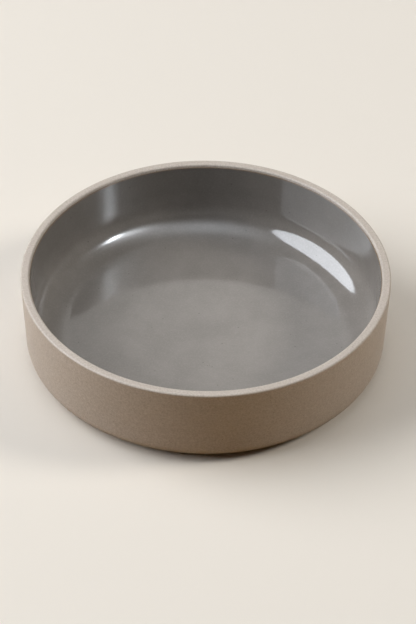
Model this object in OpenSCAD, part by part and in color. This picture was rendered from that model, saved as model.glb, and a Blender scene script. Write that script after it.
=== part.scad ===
// Straight-sided stoneware pasta bowl, bare clay outside and glazed inside.
// Sizes are in millimetres. The bowl stands on z = 0 and turns about the z axis.

/* [Rim] */
// Outer diameter across the rim
rim_d = 220; // [170:1:260]
// Height from the table to the rim
bowl_h = 53.3; // [44:0.1:70]
// Thickness of the clay wall at the rim
wall_t = 5.2; // [4:0.1:9]
// Rounding of the rim's outer edge
rim_outer_round = 1.1; // [0.3:0.1:1.5]
// Rounding of the rim's inner edge
rim_inner_round = 1.4; // [0.5:0.1:2]

/* [Wall] */
// Lean of the outside of the wall, in degrees from upright
outer_lean = 2.5; // [0:0.1:4]
// Lean of the inside of the wall, in degrees from upright
inner_lean = 2; // [0:0.1:5]
// Rounding between the outside of the wall and the underside
base_round = 7.3; // [2:0.1:9]

/* [Floor] */
// Thickness of the clay floor in the middle, above the recess
floor_t = 4.5; // [3.5:0.1:9]
// Radius of the hollow curve where it leaves the floor
cove_floor_r = 22.3; // [8:0.1:30]
// Radius of the hollow curve where it meets the wall
cove_wall_r = 16; // [6:0.1:24]
// Slope at which one radius gives way to the other, in degrees
cove_slope = 41; // [25:1:60]

/* [Foot] */
// Gap under the wall, which is the height of the foot ring's outer step
foot_h = 3; // [1.5:0.1:4.5]
// Width of the ring that meets the table
foot_w = 7; // [4:0.5:14]
// Distance from the outside of the wall at the underside to the foot ring
foot_inset = 12; // [10.5:0.5:20]
// Depth of the recess inside the foot ring
foot_recess = 1.6; // [1:0.1:3]
// Rounding of the foot ring's edges
foot_round = 0.7; // [0.2:0.1:0.7]

/* [Glaze] */
// Thickness of the glaze coat
glaze_t = 0.4; // [0.2:0.05:1]
// Bare clay left between the rim's inner rounding and the edge of the glaze
glaze_margin = 0.2; // [0.1:0.1:3]

/* [Hidden] */
$fn = 180;
rim_r = rim_d / 2;
rim_in_r = rim_r - wall_t;
base_r = rim_r - (bowl_h - foot_h) * tan(outer_lean);
floor_z = foot_recess + floor_t;
foot_out_r = base_r - foot_inset;
foot_in_r = foot_out_r - foot_w;
glaze_top_z = bowl_h - rim_inner_round - glaze_margin;
// Rounding of the glaze's upper edge, as a share of the coat's thickness
glaze_edge_share = 0.8;
// Straight run between the two arcs of the hollow curve
cove_run = 0.5;
// Largest angle between neighbouring points on an arc
arc_step = 5;

// Radius of the inside of the clay wall at height z
function clay_in_r(z) = rim_in_r - (bowl_h - z) * tan(inner_lean);
// Radius of the wall's inside at height z, with a coat on it
function coated_in_r(z, coat) = clay_in_r(z) - coat / cos(inner_lean);
// The two corners that the hollow curve rounds, at the wall and at the floor, with a coat on them
function cove(coat) = let (
  wall_round = cove_wall_r - coat,
  floor_round = cove_floor_r - coat,
  wall_turn = 90 - inner_lean - cove_slope,
  reach = wall_round * tan(wall_turn / 2) + cove_run + floor_round * tan(cove_slope / 2),
  low_z = floor_z + coat,
  high_z = low_z + reach * sin(cove_slope),
  high_r = coated_in_r(high_z, coat)
) [
  [[high_r, high_z], wall_round],
  [[high_r - reach * cos(cove_slope), low_z], floor_round]
];

function unit(v) = v / norm(v);
function before(list, i) = list[(i + len(list) - 1) % len(list)];
function after(list, i) = list[(i + 1) % len(list)];
function bearing(v) = atan2(v[1], v[0]);
// Unit vectors from corner i of an outline to its two neighbours
function arms(corners, i) = [
  for (next = [before(corners, i), after(corners, i)]) unit(next[0] - corners[i][0])
];
// The points of the arc that rounds corner i, from one straight edge to the other
function arc_points(corners, i) = let (
  radius = corners[i][1],
  a = arms(corners, i),
  half_angle = acos(a[0] * a[1]) / 2,
  centre = corners[i][0] + unit(a[0] + a[1]) * radius / sin(half_angle),
  first = corners[i][0] + a[0] * radius / tan(half_angle),
  turn = sign(cross(a[1], a[0])) * (180 - 2 * half_angle),
  steps = ceil(abs(turn) / arc_step)
) [
  for (k = [0 : steps])
    let (angle = bearing(first - centre) + turn * k / steps)
    centre + radius * [cos(angle), sin(angle)]
];
// A closed outline from corners of the form [[r, z], rounding]
function rounded(corners) = [
  for (i = [0 : len(corners) - 1])
    each corners[i][1] > 0 ? arc_points(corners, i) : [corners[i][0]]
];

// The fired clay: foot ring, floor, wall and rim in one piece
module stoneware_body() {
  color([0.76, 0.71, 0.66])
  rotate_extrude() polygon(rounded([
    [[0, foot_recess], 0],
    [[foot_in_r, foot_recess], foot_round],
    [[foot_in_r, 0], foot_round],
    [[foot_out_r, 0], foot_round],
    [[foot_out_r, foot_h], foot_round],
    [[base_r, foot_h], base_round],
    [[rim_r, bowl_h], rim_outer_round],
    [[rim_in_r, bowl_h], rim_inner_round],
    cove(0)[0],
    cove(0)[1],
    [[0, floor_z], 0]
  ]));
}

// The glass coat on the floor, the cove and the wall, with a rounded upper edge
module interior_glaze() {
  color([0.44, 0.43, 0.41])
  rotate_extrude() polygon(rounded([
    [[0, floor_z], 0],
    cove(0)[1],
    cove(0)[0],
    [[clay_in_r(glaze_top_z), glaze_top_z], 0],
    [[coated_in_r(glaze_top_z, glaze_t), glaze_top_z], glaze_t * glaze_edge_share],
    cove(glaze_t)[0],
    cove(glaze_t)[1],
    [[0, floor_z + glaze_t], 0]
  ]));
}

stoneware_body();
interior_glaze();
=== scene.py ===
"""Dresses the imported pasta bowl: bare turned stoneware outside, a glossy grey glaze inside."""

import math

import bpy
from mathutils import Matrix, Vector, noise


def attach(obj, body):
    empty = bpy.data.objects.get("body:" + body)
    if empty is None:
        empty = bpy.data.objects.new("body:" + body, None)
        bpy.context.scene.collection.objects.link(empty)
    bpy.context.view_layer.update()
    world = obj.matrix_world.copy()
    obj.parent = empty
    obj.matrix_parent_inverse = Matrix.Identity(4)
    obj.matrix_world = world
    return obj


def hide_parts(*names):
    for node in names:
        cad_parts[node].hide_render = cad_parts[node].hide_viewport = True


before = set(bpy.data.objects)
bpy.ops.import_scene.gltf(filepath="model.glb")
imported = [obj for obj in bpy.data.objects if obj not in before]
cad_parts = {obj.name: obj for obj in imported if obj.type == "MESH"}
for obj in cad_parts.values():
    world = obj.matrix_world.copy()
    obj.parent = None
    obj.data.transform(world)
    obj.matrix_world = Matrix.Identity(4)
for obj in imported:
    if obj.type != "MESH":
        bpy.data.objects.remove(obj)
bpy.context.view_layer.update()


def shade(r, g, b):
    """A linear colour."""
    return (r, g, b, 1.0)


def direction(azimuth, elevation):
    """Unit vector towards an azimuth, clockwise from behind the bowl, and an elevation, in degrees."""
    a = math.radians(azimuth)
    e = math.radians(elevation)
    return Vector((math.cos(e) * math.sin(a), math.cos(e) * math.cos(a), math.sin(e)))


MM = 0.001

# The bowl's sizes, which are those of the CAD part
RIM_R = 110 * MM
BOWL_H = 53.3 * MM
WALL_T = 5.2 * MM
RIM_OUTER_ROUND = 1.1 * MM
RIM_INNER_ROUND = 1.4 * MM
OUTER_LEAN = math.radians(2.5)
INNER_LEAN = math.radians(2)
BASE_ROUND = 7.3 * MM
FLOOR_T = 4.5 * MM
COVE_FLOOR_R = 22.3 * MM
COVE_WALL_R = 16 * MM
COVE_SLOPE = math.radians(41)
COVE_RUN = 0.5 * MM
FOOT_H = 3 * MM
FOOT_W = 7 * MM
FOOT_INSET = 12 * MM
FOOT_RECESS = 1.6 * MM
FOOT_ROUND = 0.7 * MM
GLAZE_T = 0.4 * MM
GLAZE_MARGIN = 0.2 * MM
GLAZE_EDGE_ROUND = 0.8 * GLAZE_T

RIM_IN_R = RIM_R - WALL_T
BASE_R = RIM_R - (BOWL_H - FOOT_H) * math.tan(OUTER_LEAN)
FLOOR_Z = FOOT_RECESS + FLOOR_T
FOOT_OUT_R = BASE_R - FOOT_INSET
FOOT_IN_R = FOOT_OUT_R - FOOT_W
GLAZE_TOP_Z = BOWL_H - RIM_INNER_ROUND - GLAZE_MARGIN

# How finely shapes are divided: parts of a turn, the longest step along a straight edge, how far the
# guard points lie from its ends, the largest angle on an arc, and how near the axis counts as on it
SEGMENTS = 288
STEP = 1.5 * MM
GUARD = 0.2 * MM
ARC_STEP = math.radians(5)
ON_AXIS = 1e-6 * MM

# How much deeper the glaze is where it pooled at the foot of the cove, half the width over which it
# gathers there, and the length over which it drains away up the cove
POOL_DEPTH = 0.19 * MM
POOL_HALF_W = 5 * MM
POOL_DRAIN = 14 * MM

# What turning and firing leave at the rim: how far it is out of round and out of level
OUT_OF_ROUND = 0.22 * MM
OUT_OF_LEVEL = 0.14 * MM
# How far the glaze's upper edge wavers, slowly and quickly, how far it lies below its line, and the
# height of the band below it that follows
EDGE_SLOW = 0.16 * MM
EDGE_QUICK = 0.1 * MM
EDGE_DROP = 0.04 * MM
EDGE_BAND = 5 * MM
# The waves round the bowl: how busy each is, and which slice of the noise it takes
ROUND_WAVE = (0.9, 3.1)
LEVEL_WAVE = (0.7, 8.4)
SLOW_WAVE = (2.2, 1.7)
QUICK_WAVE = (7, 5.2)

# The noises in the clay and in the glaze: features to a metre, finer layers, and how rough these are
CLAY_NOISES = {"drift": (26, 3.0, 0.5), "patch": (210, 3.0, 0.5), "grain": (900, 2.0, 0.6)}
TURNING_NOISE = (620, 3.0, 0.6)
GLAZE_NOISES = {
    "mottle": (48, 4.0, 0.6),
    "fine": (900, 2.0, 0.5),
    "wander": (160, 2.0, 0.5),
    "peel": (75, 1.0, 0.5),
}
# The range that holds most values of a noise
USUAL = (0.3, 0.7)
# The specks: dots to a metre, the range over which a dot fades, the noise of the clumps that keep
# their dots, and the range of it over which a clump begins
CLAY_SPECKS = (330, (0.09, 0.16), (140, 1.0), (0.56, 0.62))
GLAZE_SPECKS = (260, (0.06, 0.12), (120, 1.0), (0.58, 0.64))

# The clay's colour and the layers over it: a value, its range, the weights at its ends, and a colour
CLAY = shade(0.53, 0.475, 0.425)
CLAY_LAYERS = (
    ("drift", USUAL, (0.0, 1.0), shade(0.575, 0.515, 0.462)),
    ("patch", (0.35, 0.75), (0.0, 0.35), shade(0.50, 0.435, 0.38)),
    ("grain", (0.5, 0.7), (0.0, 0.6), shade(0.68, 0.625, 0.575)),
    ("grain", (0.3, 0.5), (0.6, 0.0), shade(0.40, 0.345, 0.295)),
    ("lines", (0.35, 0.75), (0.0, 0.25), shade(0.47, 0.415, 0.365)),
    ("speck", (0.0, 1.0), (0.0, 0.55), shade(0.24, 0.18, 0.14)),
)
CLAY_ROUGHNESS = (0.5, 0.66)
# The height of the sand and of the turning lines, and how strongly both tilt the surface
SAND_H = 0.1 * MM
LINE_H = 0.12 * MM
CLAY_RELIEF = 0.3

# The glaze's colour and the layers in it, of the same form as the clay's
GLAZE = shade(0.225, 0.21, 0.196)
GLAZE_LAYERS = (
    ("mottle", USUAL, (0.0, 1.0), shade(0.266, 0.249, 0.234)),
    ("fine", (0.45, 0.8), (0.0, 0.3), shade(0.355, 0.338, 0.315)),
)
# How light the glaze is from the middle outwards, as a sum: ranges of radius and shares at their ends.
# The second row is painted light: it lifts the floor towards the wall, where the floor lies in shade.
GLAZE_TONE_AND_PAINTED_LIGHT = (
    ((46 * MM, 54 * MM), (1.03, 0.97)),
    # Painted light: lighter towards the wall, making up for the shade near the wall
    ((56 * MM, 76 * MM), (0.0, 0.08)),
    ((5 * MM, 14 * MM), (-0.05, 0.0)),
)
# The layers over the glaze: painted shade that darkens it up the wall, specks, and tan where it is thin
# along its edge
GLAZE_OVER = (
    # Painted shade: the glaze is darkened up the wall, standing in for the shade on the inner wall
    ("height", (16 * MM, 34 * MM), (0.0, 0.37), shade(0.115, 0.108, 0.1)),
    ("speck", (0.0, 1.0), (0.0, 0.6), shade(0.07, 0.06, 0.05)),
    ("edge", (GLAZE_TOP_Z - 0.7 * MM, GLAZE_TOP_Z + 0.35 * MM), (0.0, 1.0), shade(0.27, 0.205, 0.145)),
)
# How far the tan edge wanders, the glaze's gloss, and the height and strength of its soft waves
EDGE_WANDER = 0.9 * MM
GLAZE_ROUGHNESS = (0.085, 0.105)
GLAZE_IOR = 1.55
PEEL_H = 0.4 * MM
PEEL_RELIEF = 0.06

# The colour of the table and the backdrop, and of the light that the table throws back
PALE = shade(0.84, 0.8, 0.74)
BOUNCE = shade(0.32, 0.186, 0.057)
# Half the table's side, how far it lies under the foot, and the distances from the bowl at which it
# begins to run into the backdrop and at which it is one with it
TABLE_HALF = 7.0
TABLE_DROP = 0.05 * MM
TABLE_NEAR = 0.5
TABLE_FAR = 1.4
# How high the backdrop stands, as the range of a direction's upward part over which it ends
BACKDROP_TOP = (0.16, 0.3)

# The bright patches of the room: where each lies, its strength, how tightly it gathers, its tint, and
# whether it shows in gloss or lights matt surfaces. The last four make one highlight on the right.
WARM_AIR = shade(1, 0.98, 0.95)
COOL_AIR = shade(0.95, 1.0, 1.06)
ROOM = (
    (direction(0, 43.8), 0.15, 2.0, WARM_AIR, False),
    (direction(0, 78.5), 1.455, 16.0, COOL_AIR, False),
    (direction(0, 38), 1.16, 40.0, WARM_AIR, True),
    (direction(180, 74), 2.895, 12.0, COOL_AIR, True),
    (direction(121, 48), 3.02, 22.0, COOL_AIR, True),
    (direction(117, 43.5), 7.26, 60.0, COOL_AIR, True),
    (direction(107, 40.8), 23.7, 450.0, COOL_AIR, True),
    (direction(113, 37.3), 56.7, 520.0, COOL_AIR, True),
)

# The tints of the lights, and the points that they face
PLAIN = (1, 0.99, 0.98)
WARM = (1, 0.94, 0.85)
COOL = (0.92, 0.975, 1.05)
MIDDLE = (0, 0, 0.03)
RIGHT_COVE = (0.085, 0.02, 0.015)

# Where the photograph was taken from, how far below level the camera looked, and how far it was turned
CAMERA_SPOT = Vector((1.506, -1191.1, 1036.425)) * MM
CAMERA_DROP = math.radians(40.4215)
CAMERA_ROLL = math.radians(0.6771)

# Places of the sockets that a colour Mix node uses
MIX_FACTOR = 0
MIX_A = 6
MIX_B = 7
MIX_RESULT = 2


def clay_in_r(z):
    """Radius of the inside of the clay wall at height z."""
    return RIM_IN_R - (BOWL_H - z) * math.tan(INNER_LEAN)


def coated_in_r(z, coat):
    """Radius of the wall's inside at height z, with a coat on it."""
    return clay_in_r(z) - coat / math.cos(INNER_LEAN)


def cove(coat):
    """The corners that the hollow curve rounds, at the wall and at the floor, with a coat on them."""
    wall_round = COVE_WALL_R - coat
    floor_round = COVE_FLOOR_R - coat
    wall_turn = math.pi / 2 - INNER_LEAN - COVE_SLOPE
    reach = wall_round * math.tan(wall_turn / 2) + COVE_RUN + floor_round * math.tan(COVE_SLOPE / 2)
    low_z = FLOOR_Z + coat
    high_z = low_z + reach * math.sin(COVE_SLOPE)
    high_r = coated_in_r(high_z, coat)
    return (high_r, high_z, wall_round), (high_r - reach * math.cos(COVE_SLOPE), low_z, floor_round)


def ease(value):
    """A smooth rise from 0 to 1, held at its ends."""
    value = min(1.0, max(0.0, value))
    return value * value * (3 - 2 * value)


def pooled(r):
    """Extra depth of the glaze at a radius, where it gathered between the floor and the cove."""
    low_r, _, floor_round = cove(GLAZE_T)[1]
    cove_start = low_r - floor_round * math.tan(COVE_SLOPE / 2)
    gather = ease((r - cove_start + POOL_HALF_W) / (2 * POOL_HALF_W))
    drain = ease((cove_start + POOL_HALF_W + POOL_DRAIN - r) / POOL_DRAIN)
    return POOL_DEPTH * gather * drain


def arc(before, corner, after, radius):
    """Points of the arc that rounds a corner between two neighbours."""
    a = (before - corner).normalized()
    b = (after - corner).normalized()
    half = math.acos(a.dot(b)) / 2
    centre = corner + (a + b).normalized() * radius / math.sin(half)
    first = corner + a * radius / math.tan(half) - centre
    turn = math.copysign(math.pi - 2 * half, b.x * a.y - b.y * a.x)
    steps = math.ceil(abs(turn) / ARC_STEP)
    start = math.atan2(first.y, first.x)
    angles = [start + turn * k / steps for k in range(steps + 1)]
    return [centre + radius * Vector((math.cos(t), math.sin(t))) for t in angles]


def straight(a, b):
    """Points between a and b, not counting them, with a guard point close to each end."""
    length = (b - a).length
    if length < 4 * GUARD:
        return []
    count = math.ceil((length - 2 * GUARD) / STEP)
    marks = [GUARD + (length - 2 * GUARD) * k / count for k in range(count + 1)]
    return [a.lerp(b, mark / length) for mark in marks]


def outline(corners):
    """Points along an open outline, from (r, z, rounding) corners whose first and last are sharp."""
    spots = [Vector(c[:2]) for c in corners]
    runs = []
    for i, (spot, corner) in enumerate(zip(spots, corners)):
        runs.append(arc(spots[i - 1], spot, spots[i + 1], corner[2]) if corner[2] else [spot])
    points = list(runs[0])
    for run in runs[1:]:
        points += straight(points[-1], run[0]) + run
    return points


def ripple(angle, reach, seed):
    """Smooth value between about -1 and 1 that closes on itself round the bowl."""
    return noise.noise(Vector((math.cos(angle) * reach, math.sin(angle) * reach, seed)))


def settle(angle, r, z):
    """A point where turning and firing left it, out of round and out of level more the higher it is."""
    share = z / BOWL_H
    r += OUT_OF_ROUND * share * ripple(angle, *ROUND_WAVE)
    z += OUT_OF_LEVEL * share * ripple(angle, *LEVEL_WAVE)
    return r, z


def glaze_line(angle, r, z):
    """A settled point of the glaze, whose upper edge wavers where the liquid stopped."""
    near = ease(1 - (GLAZE_TOP_Z - z) / EDGE_BAND)
    waver = EDGE_SLOW * ripple(angle, *SLOW_WAVE) + EDGE_QUICK * ripple(angle, *QUICK_WAVE)
    shift = near * (waver - EDGE_DROP)
    return settle(angle, r + shift * math.tan(INNER_LEAN), z + shift)


def lathe(name, points, place):
    """A closed mesh turned from an outline that starts and ends on the axis.

    Each point is put in its place by a function of its angle, radius and height.
    """
    rings = []
    verts = []
    for p in points:
        turns = 1 if p.x < ON_AXIS else SEGMENTS
        rings.append(list(range(len(verts), len(verts) + turns)))
        for k in range(turns):
            angle = 2 * math.pi * k / SEGMENTS
            r, z = place(angle, p.x, p.y) if turns > 1 else (0.0, p.y)
            verts.append((r * math.cos(angle), r * math.sin(angle), z))
    faces = []
    for a, b in zip(rings, rings[1:]):
        for k in range(SEGMENTS):
            n = (k + 1) % SEGMENTS
            if len(a) == 1:
                faces.append((a[0], b[n], b[k]))
            elif len(b) == 1:
                faces.append((a[k], a[n], b[0]))
            else:
                faces.append((a[k], a[n], b[n], b[k]))
    mesh = bpy.data.meshes.new(name)
    mesh.from_pydata(verts, [], faces)
    mesh.validate()
    mesh.shade_smooth()
    made = bpy.data.objects.new(name, mesh)
    bpy.context.scene.collection.objects.link(made)
    return made


def wire(tree, node, inputs):
    """Sets a node's inputs to values or links them to sockets."""
    for key, value in inputs.items():
        if isinstance(value, bpy.types.NodeSocket):
            tree.links.new(value, node.inputs[key])
        else:
            node.inputs[key].default_value = value


def add(tree, kind, inputs=(), **settings):
    """A new node with its settings and its inputs."""
    made = tree.nodes.new("ShaderNode" + kind)
    for key, value in settings.items():
        setattr(made, key, value)
    wire(tree, made, dict(inputs))
    return made


def math_node(tree, operation, *values):
    """The result of a Math node on numbers or sockets."""
    return add(tree, "Math", dict(enumerate(values)), operation=operation).outputs[0]


def spread(tree, value, low, high, to_low=0.0, to_high=1.0):
    """A value's range low to high mapped to another, and held at its ends."""
    ends = {"Value": value, "From Min": low, "From Max": high, "To Min": to_low, "To Max": to_high}
    return add(tree, "MapRange", ends).outputs["Result"]


def cloud(tree, vector, scale, detail, roughness=0.5):
    """A noise value with features about 1/scale metres across."""
    settings = {"Vector": vector, "Scale": scale, "Detail": detail, "Roughness": roughness}
    return add(tree, "TexNoise", settings).outputs["Fac"]


def specks(tree, place, scale, fade, clumps, begin):
    """A value that is 1 on small dots, kept only in the clumps of a noise, and 0 elsewhere."""
    dots = add(tree, "TexVoronoi", {"Vector": place, "Scale": scale}).outputs["Distance"]
    few = spread(tree, cloud(tree, place, *clumps), *begin)
    return math_node(tree, "MULTIPLY", spread(tree, dots, *fade, 1.0, 0.0), few)


def blend(tree, factor, a, b, kind="MIX"):
    """The colour a turned towards b by a factor."""
    inputs = {MIX_FACTOR: factor, MIX_A: a, MIX_B: b}
    return add(tree, "Mix", inputs, data_type="RGBA", blend_type=kind).outputs[MIX_RESULT]


def layered(tree, colour, layers, values):
    """A colour with others laid over it, each by a weight that follows a named value."""
    for name, ends, weights, tone in layers:
        colour = blend(tree, spread(tree, values[name], *ends, *weights), colour, tone)
    return colour


def new_material(name):
    """An empty node material, with its tree, its shader and its object coordinates."""
    made = bpy.data.materials.new(name)
    made.use_nodes = True
    tree = made.node_tree
    tree.nodes.clear()
    shader = add(tree, "BsdfPrincipled")
    add(tree, "OutputMaterial", {"Surface": shader.outputs[0]})
    return made, tree, shader, add(tree, "TexCoord").outputs["Object"]


def polar(tree, place):
    """The distance from the bowl's axis and the height."""
    parts = add(tree, "SeparateXYZ", {0: place}).outputs
    flat = add(tree, "CombineXYZ", {"X": parts["X"], "Y": parts["Y"]}).outputs[0]
    return add(tree, "VectorMath", {0: flat}, operation="LENGTH").outputs["Value"], parts["Z"]


def turned_lines(tree, place):
    """A value that is the same all round the bowl and changes across its surfaces, like tool marks."""
    radius, height = polar(tree, place)
    across = add(tree, "CombineXYZ", {"X": radius, "Y": height}).outputs[0]
    return cloud(tree, across, *TURNING_NOISE)


def stoneware_material():
    """Bare fired clay: sandy grain, faint turning lines, soft changes of shade and sparse specks."""
    made, tree, shader, place = new_material("bare_stoneware")
    values = {name: cloud(tree, place, *kind) for name, kind in CLAY_NOISES.items()}
    values["lines"] = turned_lines(tree, place)
    values["speck"] = specks(tree, place, *CLAY_SPECKS)
    sand = {"Strength": CLAY_RELIEF, "Distance": SAND_H, "Height": values["grain"]}
    lines = {"Strength": CLAY_RELIEF, "Distance": LINE_H, "Height": values["lines"]}
    lines["Normal"] = add(tree, "Bump", sand).outputs[0]
    wire(tree, shader, {
        "Base Color": layered(tree, CLAY, CLAY_LAYERS, values),
        "Roughness": spread(tree, values["grain"], *USUAL, *CLAY_ROUGHNESS),
        "Specular IOR Level": 0.5,
        "Normal": add(tree, "Bump", lines).outputs[0],
    })
    return made


def glaze_material():
    """Glossy grey glaze: mottled, sparsely specked, tan along its edge, with painted shade that darkens
    it up the wall and painted light that lifts the floor near the wall.
    """
    made, tree, shader, place = new_material("grey_glaze")
    radius, height = polar(tree, place)
    values = {name: cloud(tree, place, *kind) for name, kind in GLAZE_NOISES.items()}
    # The height weighs the painted shade up the wall
    values["height"] = height
    values["speck"] = specks(tree, place, *GLAZE_SPECKS)
    values["edge"] = math_node(tree, "MULTIPLY_ADD", values["wander"], EDGE_WANDER, height)
    # The radial tone, which holds painted light that lifts the floor near the wall
    tone = 0.0
    for ends, shares in GLAZE_TONE_AND_PAINTED_LIGHT:
        tone = math_node(tree, "ADD", tone, spread(tree, radius, *ends, *shares))
    colour = layered(tree, GLAZE, GLAZE_LAYERS, values)
    colour = blend(tree, 1.0, colour, tone, "MULTIPLY")
    waves = {"Strength": PEEL_RELIEF, "Distance": PEEL_H, "Height": values["peel"]}
    wire(tree, shader, {
        "Base Color": layered(tree, colour, GLAZE_OVER, values),
        "Roughness": spread(tree, values["mottle"], *USUAL, *GLAZE_ROUGHNESS),
        "IOR": GLAZE_IOR,
        "Normal": add(tree, "Bump", waves).outputs[0],
    })
    return made


def seen_rays(tree):
    """1 for the rays that look at the surroundings, 0 for those that only carry their light."""
    path = add(tree, "LightPath").outputs
    seen = math_node(tree, "MAXIMUM", path["Is Camera Ray"], path["Is Glossy Ray"])
    return math_node(tree, "MAXIMUM", seen, path["Is Transmission Ray"])


def floor_material():
    """Pale table top, which throws back warm light as a cloth does and ends in the backdrop."""
    made, tree, shader, place = new_material("pale_table")
    seen = seen_rays(tree)
    colour = blend(tree, seen, BOUNCE, PALE)
    wire(tree, shader, {"Base Color": colour, "Roughness": 0.95, "Specular IOR Level": 0.1})
    radius = polar(tree, place)[0]
    far = math_node(tree, "MULTIPLY", seen, spread(tree, radius, TABLE_NEAR, TABLE_FAR))
    backdrop = add(tree, "Emission", {"Color": PALE, "Strength": 1.0}).outputs[0]
    both = add(tree, "MixShader", {0: far, 1: shader.outputs[0], 2: backdrop}).outputs[0]
    wire(tree, tree.nodes["Material Output"], {"Surface": both})
    return made


def glow(tree, way, aim, lit, power, tint, for_gloss):
    """A soft bright patch of the room, which either shows in gloss or lights matt surfaces."""
    near = add(tree, "VectorMath", {0: way, 1: aim}, operation="DOT_PRODUCT").outputs["Value"]
    strength = math_node(tree, "POWER", math_node(tree, "MAXIMUM", near, 0.0), power)
    glossy = add(tree, "LightPath").outputs["Is Glossy Ray"]
    counts = glossy if for_gloss else math_node(tree, "SUBTRACT", 1.0, glossy)
    strength = math_node(tree, "MULTIPLY", math_node(tree, "MULTIPLY", strength, lit), counts)
    return add(tree, "Background", {"Color": tint, "Strength": strength}).outputs[0]


def make_world():
    """A dark room with soft bright patches, and a pale backdrop near the horizon."""
    world = bpy.data.worlds.new("studio")
    world.use_nodes = True
    tree = world.node_tree
    tree.nodes.clear()
    way = add(tree, "TexCoord").outputs["Generated"]
    room = glow(tree, way, *ROOM[0])
    for patch in ROOM[1:]:
        room = add(tree, "AddShader", {0: room, 1: glow(tree, way, *patch)}).outputs[0]
    pale = add(tree, "Background", {"Color": PALE, "Strength": 1.0}).outputs[0]
    height = add(tree, "SeparateXYZ", {0: way}).outputs["Z"]
    low = spread(tree, height, *BACKDROP_TOP, 1.0, 0.0)
    shown = math_node(tree, "MULTIPLY", low, seen_rays(tree))
    both = add(tree, "MixShader", {0: shown, 1: room, 2: pale}).outputs[0]
    add(tree, "OutputWorld", {"Surface": both})
    bpy.context.scene.world = world


def round_light(name, aim, way, reach, half_angles, radiance, tint, shades=True, glints=True):
    """A soft oval light that faces a point from a direction and a distance.

    Its half width and half height are angles seen from that point, in degrees, and its face has the
    given radiance. It shades matt surfaces, shows in gloss, or both.
    """
    wide, high = half_angles
    lamp = bpy.data.lights.new(name, "AREA")
    lamp.shape = "ELLIPSE"
    lamp.size = 2 * reach * math.tan(math.radians(wide))
    lamp.size_y = 2 * reach * math.tan(math.radians(high))
    lamp.energy = radiance * math.pi * math.pi * lamp.size * lamp.size_y / 4
    lamp.color = tint
    made = bpy.data.objects.new(name, lamp)
    made.location = Vector(aim) + reach * way
    made.rotation_mode = "QUATERNION"
    made.rotation_quaternion = way.to_track_quat("Z", "Y")
    made.visible_camera = False
    made.visible_diffuse = shades
    made.visible_glossy = glints
    bpy.context.scene.collection.objects.link(made)


# The clay body
body = lathe("turned_stoneware", outline([
    (0, FOOT_RECESS, 0),
    (FOOT_IN_R, FOOT_RECESS, FOOT_ROUND),
    (FOOT_IN_R, 0, FOOT_ROUND),
    (FOOT_OUT_R, 0, FOOT_ROUND),
    (FOOT_OUT_R, FOOT_H, FOOT_ROUND),
    (BASE_R, FOOT_H, BASE_ROUND),
    (RIM_R, BOWL_H, RIM_OUTER_ROUND),
    (RIM_IN_R, BOWL_H, RIM_INNER_ROUND),
    *cove(0),
    (0, FLOOR_Z, 0),
]), settle)
body.data.materials.append(stoneware_material())
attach(body, "root")
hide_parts("stoneware_body")

# The glaze, whose face is raised where it pooled
glaze_top = (clay_in_r(GLAZE_TOP_Z), GLAZE_TOP_Z, 0)
coat_under = outline([(0, FLOOR_Z, 0), *reversed(cove(0)), glaze_top])
coat_face = outline([
    glaze_top,
    (coated_in_r(GLAZE_TOP_Z, GLAZE_T), GLAZE_TOP_Z, GLAZE_EDGE_ROUND),
    *cove(GLAZE_T),
    (0, FLOOR_Z + GLAZE_T, 0),
])
coat_face = [Vector((p.x, p.y + pooled(p.x))) if p.y < BOWL_H / 2 else p for p in coat_face]
coat = lathe("liner_glaze", coat_under + coat_face[1:], glaze_line)
coat.data.materials.append(glaze_material())
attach(coat, "root")
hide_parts("interior_glaze")

# The table
table = bpy.data.meshes.new("table_top")
table_sides = ((-1, -1), (1, -1), (1, 1), (-1, 1))
table_corners = [(x * TABLE_HALF, y * TABLE_HALF, -TABLE_DROP) for x, y in table_sides]
table.from_pydata(table_corners, [], [(0, 1, 2, 3)])
table_top = bpy.data.objects.new("table_top", table)
bpy.context.scene.collection.objects.link(table_top)
table.materials.append(floor_material())

# The light: the room, a wide light on the left and its reflection, and a smaller warm one on the right
make_world()
round_light(
    "left_light", aim=MIDDLE, way=direction(-83, 38), reach=3.0, half_angles=(30, 22),
    radiance=4.6, tint=PLAIN, glints=False,
)
round_light(
    "left_glint", aim=RIGHT_COVE, way=direction(-91, 38), reach=2.6, half_angles=(30, 22),
    radiance=9.6, tint=COOL, shades=False,
)
round_light(
    "right_light", aim=MIDDLE, way=direction(88, 37), reach=3.1, half_angles=(8.5, 8.5),
    radiance=18.0, tint=WARM, glints=False,
)

# The camera
camera = bpy.data.objects.new("camera", bpy.data.cameras.new("camera"))
bpy.context.scene.collection.objects.link(camera)
camera.data.sensor_width = 36
camera.data.lens = 150
camera.data.clip_start = 0.1
camera.data.clip_end = 100
tilt = Matrix.Rotation(math.pi / 2 - CAMERA_DROP, 4, "X")
roll = Matrix.Rotation(CAMERA_ROLL, 4, "Z")
camera.matrix_world = Matrix.Translation(CAMERA_SPOT) @ tilt @ roll
bpy.context.scene.camera = camera
bpy.context.scene.view_settings.view_transform = "Standard"
